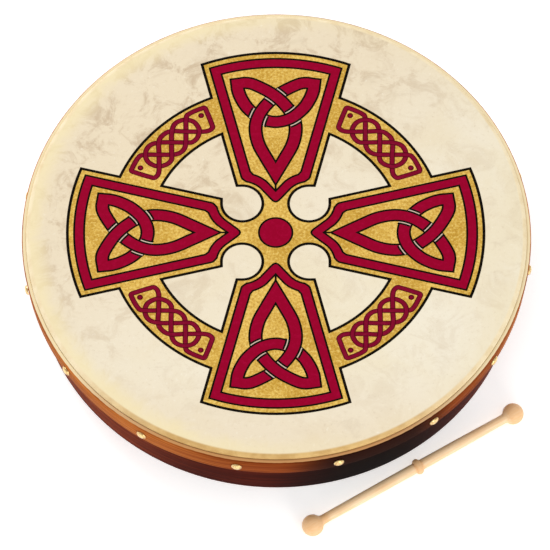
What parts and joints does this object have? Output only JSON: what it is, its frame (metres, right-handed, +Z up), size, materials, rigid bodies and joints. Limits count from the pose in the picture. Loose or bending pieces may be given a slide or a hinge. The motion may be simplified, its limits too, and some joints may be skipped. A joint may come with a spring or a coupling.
{
  "type": "bodhran frame drum",
  "caption": "Shallow round wooden frame drum with a tacked goatskin head, crossbars in its open back and a turned double-ended beater beside it.",
  "frame": {"origin": "the centre of the head's top face", "axes": "+Z up, out of the head; +X to the drum's right and -Y its near side, where the beater lies"},
  "size_m": [0.4573, 0.4992, 0.076],
  "materials": {
    "goatskin": "matt scraped goatskin with a printed ringed cross in crimson and gold",
    "shell_wood": "dark mahogany stain, satin varnish",
    "hoop_wood": "red-brown stain, satin varnish, worn pale along its top edge",
    "bar_wood": "plain, lightly stained",
    "tack_brass": "antiqued brass, domed",
    "beech": "fine-sanded pale beech, thin clear coat"
  },
  "bodies": {
    "drum": {"shell": "shell_wood", "head": "goatskin", "tack_hoop": "hoop_wood", "crossbar_left_right": "bar_wood", "crossbar_near_far": "bar_wood", "tack_01": "tack_brass", "tack_02": "tack_brass", "tack_03": "tack_brass", "tack_04": "tack_brass", "tack_05": "tack_brass", "tack_06": "tack_brass", "tack_07": "tack_brass", "tack_08": "tack_brass", "tack_09": "tack_brass", "tack_10": "tack_brass", "tack_11": "tack_brass", "tack_12": "tack_brass", "tack_13": "tack_brass", "tack_14": "tack_brass", "tack_15": "tack_brass", "tack_16": "tack_brass"},
    "beater": {"beater": "beech"}
  },
  "joints": [
    {"name": "beater_lift", "type": "slide", "parent": "drum", "child": "beater", "axis": [0, 0, 1], "range_m": [0, 0.2]}
  ]
}
